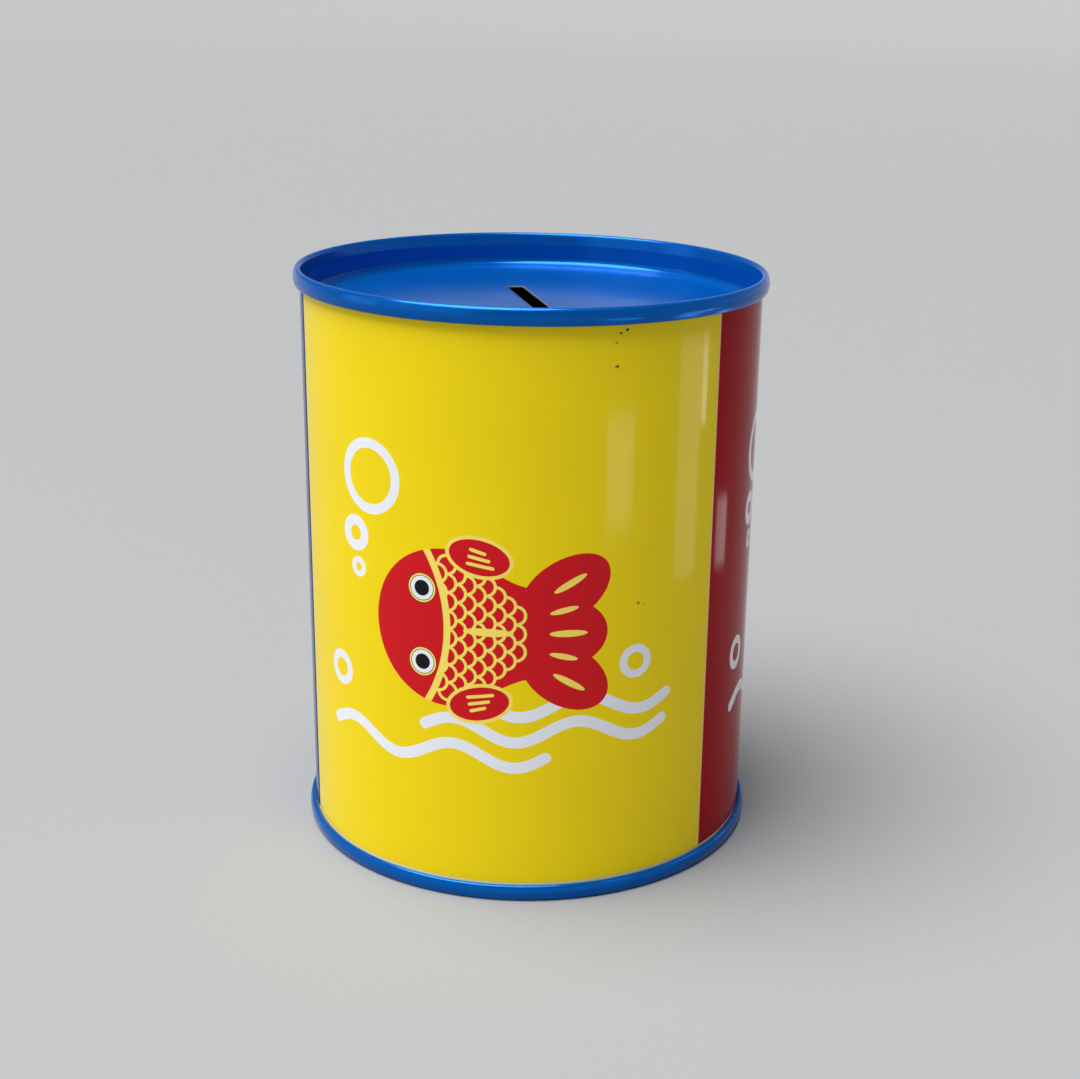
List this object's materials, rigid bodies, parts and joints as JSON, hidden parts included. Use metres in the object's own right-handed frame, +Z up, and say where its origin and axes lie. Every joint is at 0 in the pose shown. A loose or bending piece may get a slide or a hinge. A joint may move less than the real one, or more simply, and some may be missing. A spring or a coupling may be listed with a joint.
{
  "type": "tin money box",
  "caption": "Round tinplate money box with seamed ends, a sunk lid with a coin slot and a base stopper.",
  "frame": {"origin": "centre of the base, on the plane that the bottom rim rests on", "axes": "+Z up along the can's axis, -Y towards the yellow panel, 60 degrees round from the lock seam, +X to that panel's right"},
  "size_m": [0.0862, 0.0862, 0.1066],
  "materials": {
    "printed_tinplate": "glossy litho print in yellow, red and blue panels",
    "blue_lacquer": "glossy blue lacquer",
    "sealing_compound": "matte",
    "stopper_plastic": "satin"
  },
  "bodies": {
    "can": {"body_wall": "printed_tinplate", "top_end": "blue_lacquer", "bottom_end": "blue_lacquer", "top_seam_compound": "sealing_compound", "bottom_seam_compound": "sealing_compound"},
    "plug": {"stopper": "stopper_plastic"}
  },
  "joints": [
    {"name": "stopper_pull", "type": "slide", "parent": "can", "child": "plug", "axis": [0, 0, -1], "range_m": [0, 0.05]}
  ]
}
